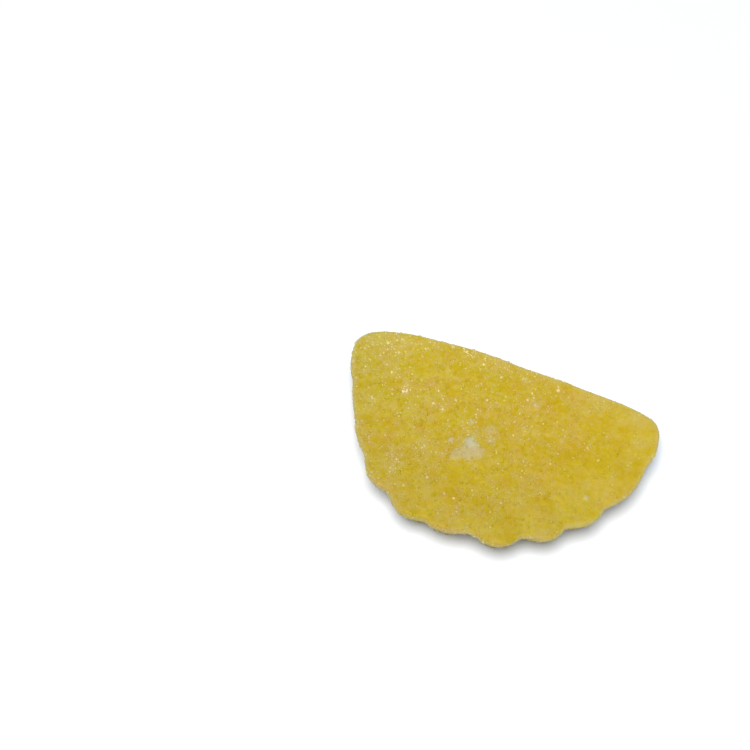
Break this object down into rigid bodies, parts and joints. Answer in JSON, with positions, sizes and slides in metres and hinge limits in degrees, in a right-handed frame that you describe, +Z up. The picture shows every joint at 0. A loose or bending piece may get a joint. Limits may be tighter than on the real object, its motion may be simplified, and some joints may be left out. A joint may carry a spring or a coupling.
{
  "type": "gummy candy",
  "caption": "Half-round fruit-slice gummy candy with a scalloped edge and a ribbed underside, coated in sugar crystals, lying flat.",
  "frame": {"origin": "middle of the slice's box, at the height of the surface it lies on", "axes": "+X along the straight side, towards the end that is on the right when the poured face is up and the scalloped edge is in front; +Y out of the straight side; +Z up, out of the poured face"},
  "size_m": [0.0382, 0.0226, 0.0112],
  "materials": {
    "sugared_jelly": "translucent lemon-yellow jelly, frosted with fine sugar",
    "sugar_crystal": "clear to milky sugar crystals with small glints"
  },
  "bodies": {
    "root": {"jelly_slice": "sugared_jelly"}
  },
  "joints": []
}
